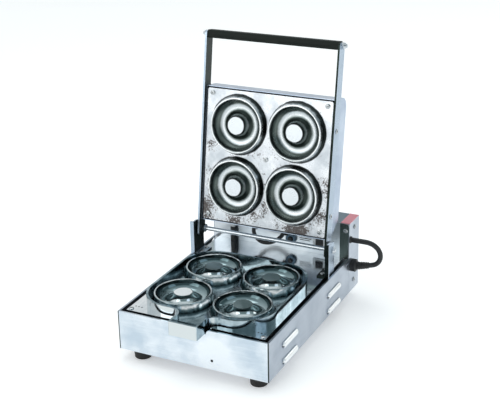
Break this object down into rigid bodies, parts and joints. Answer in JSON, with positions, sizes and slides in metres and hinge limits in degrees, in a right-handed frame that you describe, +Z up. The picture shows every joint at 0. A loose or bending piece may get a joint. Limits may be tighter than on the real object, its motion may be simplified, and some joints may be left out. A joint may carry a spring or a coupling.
{
  "type": "donut maker",
  "caption": "Counter-top ring donut maker with a hinged lid, cast upper and lower cup plates, a pouring spout and a rear control box.",
  "frame": {"origin": "on the floor under the middle of the machine with its lid open, the leads and gland left out", "axes": "+Z up; the front with the pouring spout faces -Y; +X is to the machine's right as the viewer in front of it sees it"},
  "size_m": [0.2945, 0.384, 0.4321],
  "materials": {
    "stainless_sheet": "fine brushed stainless sheet",
    "polished_steel": "polished stainless, mirror-like",
    "cast_aluminium": "polished cast aluminium, darkened by heat",
    "cast_aluminium_satin": "satin cast aluminium with cooking stains",
    "bright_fasteners": "bright plated steel",
    "rubber": "black rubber",
    "heater_steel": "heat-darkened steel",
    "mineral_wool": "pale pressed mineral wool",
    "dark_paint": "dark green-black semi-gloss",
    "pink_strip": "pinkish red glossy strip",
    "black_plastic": "black moulded plastic",
    "white_plastic": "off-white moulded plastic",
    "amber_lens": "translucent amber lens",
    "lead_rubber": "black rubber-sheathed lead"
  },
  "bodies": {
    "base": {"front_panel": "stainless_sheet", "side_panel_left": "stainless_sheet", "side_panel_right": "stainless_sheet", "bottom_plate": "stainless_sheet", "deck": "polished_steel", "inner_liner": "dark_paint", "lower_plate": "cast_aluminium", "lower_heater": "heater_steel", "lower_clamp": "heater_steel", "lower_insulation": "mineral_wool", "foot_front_left": "rubber", "foot_front_right": "rubber", "foot_rear_left": "rubber", "foot_rear_right": "rubber", "foot_screws": "bright_fasteners", "hinge_bracket_left": "stainless_sheet", "hinge_bracket_right": "stainless_sheet", "deck_screws": "bright_fasteners", "hinge_rod": "polished_steel", "hinge_collars": "bright_fasteners", "hinge_nuts": "bright_fasteners", "box_front": "polished_steel", "box_cover": "stainless_sheet", "box_bottom": "stainless_sheet", "box_side_left": "stainless_sheet", "box_side_right": "stainless_sheet", "end_cap": "polished_steel", "end_strip": "pink_strip", "box_screws": "bright_fasteners", "switch_bezel": "white_plastic", "reset_bush": "bright_fasteners", "thermostat_lower": "black_plastic", "thermostat_upper": "black_plastic", "pilot_lamps": "amber_lens", "terminal_block": "white_plastic", "wire_guard": "black_plastic", "wire_guard_cap": "white_plastic", "lead_gland": "black_plastic", "bend_relief": "black_plastic", "heater_lead": "lead_rubber", "inner_lead": "lead_rubber"},
    "lid": {"upper_plate": "cast_aluminium_satin", "lid_casing": "stainless_sheet", "lid_rails": "stainless_sheet", "upper_heater": "heater_steel", "upper_clamp": "heater_steel", "upper_insulation": "mineral_wool", "plate_screws": "bright_fasteners", "arm_left": "dark_paint", "arm_right": "dark_paint", "arm_screws": "bright_fasteners", "handle_grip": "dark_paint", "handle_stud": "bright_fasteners", "handle_nuts": "bright_fasteners"},
    "power_rocker": {"switch_rocker": "black_plastic"},
    "reset": {"reset_button": "black_plastic"},
    "dial_lower": {"knob_lower": "black_plastic"},
    "dial_upper": {"knob_upper": "black_plastic"}
  },
  "joints": [
    {"name": "lid_hinge", "type": "hinge", "parent": "base", "child": "lid", "pos_m": [0, 0.075, 0.1172], "axis": [1, 0, 0], "range_deg": [0, 98.7]},
    {"name": "power_rocker_tilt", "type": "hinge", "parent": "base", "child": "power_rocker", "pos_m": [0.07, 0.1356, 0.098], "axis": [1, 0, 0], "range_deg": [0, 14]},
    {"name": "reset_press", "type": "slide", "parent": "base", "child": "reset", "axis": [0, 1, 0], "range_m": [0, 0.0025], "stiffness_N_per_m": 300},
    {"name": "dial_lower_turn", "type": "hinge", "parent": "base", "child": "dial_lower", "pos_m": [-0.048, 0.185, 0.096], "axis": [0, -1, 0], "range_deg": [0, 270]},
    {"name": "dial_upper_turn", "type": "hinge", "parent": "base", "child": "dial_upper", "pos_m": [0.048, 0.185, 0.096], "axis": [0, -1, 0], "range_deg": [0, 270]}
  ]
}
